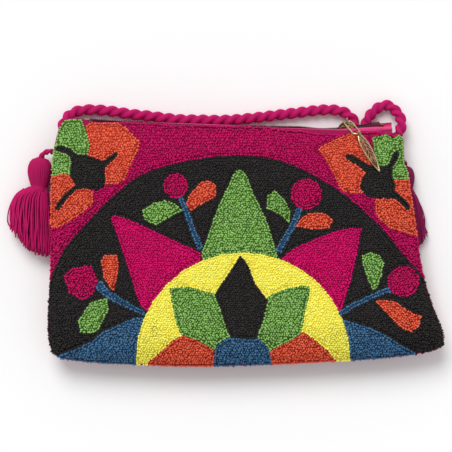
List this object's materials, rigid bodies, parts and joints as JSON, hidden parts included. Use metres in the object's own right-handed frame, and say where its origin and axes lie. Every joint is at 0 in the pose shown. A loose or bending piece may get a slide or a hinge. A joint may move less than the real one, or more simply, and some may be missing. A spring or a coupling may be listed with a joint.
{
  "type": "embroidered zip clutch",
  "caption": "Flat zip clutch of looped wool pile in a half-mandala flower pattern, with a twisted yarn strap, two tassels and an openwork leaf zip pull.",
  "frame": {"origin": "middle of the flat face that the back panel rests on, with the clutch lying on its back", "axes": "+X along the zip from its closed end to its open end, +Y from the bottom seam to the zip, +Z out of the embroidered front"},
  "size_m": [0.3315, 0.2037, 0.0382],
  "materials": {
    "pile_magenta": "looped wool pile",
    "pile_magenta_bright": "looped wool pile",
    "pile_berry": "looped wool pile",
    "pile_green": "looped wool pile",
    "pile_orange": "looped wool pile",
    "pile_yellow": "looped wool pile",
    "pile_blue": "looped wool pile",
    "pile_black": "looped wool pile",
    "canvas": "plain woven cotton canvas",
    "zip_tape": "woven tape",
    "zip_coil": "nylon coil",
    "yarn": "soft twisted yarn",
    "gold_metal": "pale gold plating"
  },
  "bodies": {
    "bag": {"back_panel": "canvas", "bottom_stop": "gold_metal", "front_panel": "canvas", "pile_berry_high_left": "pile_berry", "pile_berry_high_right": "pile_berry", "pile_berry_low_left": "pile_berry", "pile_berry_low_right": "pile_berry", "pile_black_half_disc": "pile_black", "pile_black_petal": "pile_black", "pile_blue_corner_left": "pile_blue", "pile_blue_corner_right": "pile_blue", "pile_blue_heart": "pile_blue", "pile_flower_left_black_heart": "pile_black", "pile_flower_left_green_side": "pile_green", "pile_flower_left_green_top": "pile_green", "pile_flower_left_orange_low": "pile_orange", "pile_flower_left_orange_right": "pile_orange", "pile_flower_right_black_heart": "pile_black", "pile_flower_right_green": "pile_green", "pile_flower_right_orange_left": "pile_orange", "pile_flower_right_orange_low": "pile_orange", "pile_green_leaf_high_left": "pile_green", "pile_green_leaf_high_right": "pile_green", "pile_green_leaf_low_left": "pile_green", "pile_green_leaf_low_right": "pile_green", "pile_green_peak": "pile_green", "pile_green_petal_left": "pile_green", "pile_green_petal_right": "pile_green", "pile_ground": "pile_magenta", "pile_magenta_point_left": "pile_magenta_bright", "pile_magenta_point_right": "pile_magenta_bright", "pile_orange_leaf_high_left": "pile_orange", "pile_orange_leaf_high_right": "pile_orange", "pile_orange_leaf_low_left": "pile_orange", "pile_orange_leaf_low_right": "pile_orange", "pile_orange_petal_left": "pile_orange", "pile_orange_petal_right": "pile_orange", "pile_stem_high_left": "pile_blue", "pile_stem_high_right": "pile_blue", "pile_stem_low_left": "pile_blue", "pile_stem_low_right": "pile_blue", "pile_yellow_half_disc": "pile_yellow", "strap": "yarn", "tassel_binding_left": "yarn", "tassel_binding_right": "yarn", "tassel_cord_left": "yarn", "tassel_cord_right": "yarn", "tassel_head_left": "yarn", "tassel_head_right": "yarn", "tassel_skirt_left": "yarn", "tassel_skirt_right": "yarn", "top_stop_back": "gold_metal", "top_stop_front": "gold_metal", "zip_coil_back": "zip_coil", "zip_coil_front": "zip_coil", "zip_tape_back": "zip_tape", "zip_tape_front": "zip_tape"},
    "slider": {"zip_slider": "gold_metal"},
    "link": {"pull_ring": "gold_metal"},
    "leaf": {"pull_leaf": "gold_metal"}
  },
  "joints": [
    {"name": "slider_run", "type": "slide", "parent": "bag", "child": "slider", "axis": [0.9997, -0.0253, 0], "range_m": [-0.185, 0.0195]},
    {"name": "link_hinge", "type": "hinge", "parent": "slider", "child": "link", "pos_m": [0.07763, 0.09515, 0.01878], "axis": [-0.9244, -0.1418, 0.3541], "range_deg": [0, 130]},
    {"name": "leaf_hinge", "type": "hinge", "parent": "link", "child": "leaf", "pos_m": [0.08595, 0.08524, 0.03386], "axis": [-0.7666, -0.289, 0.5735], "range_deg": [0, 80]}
  ]
}
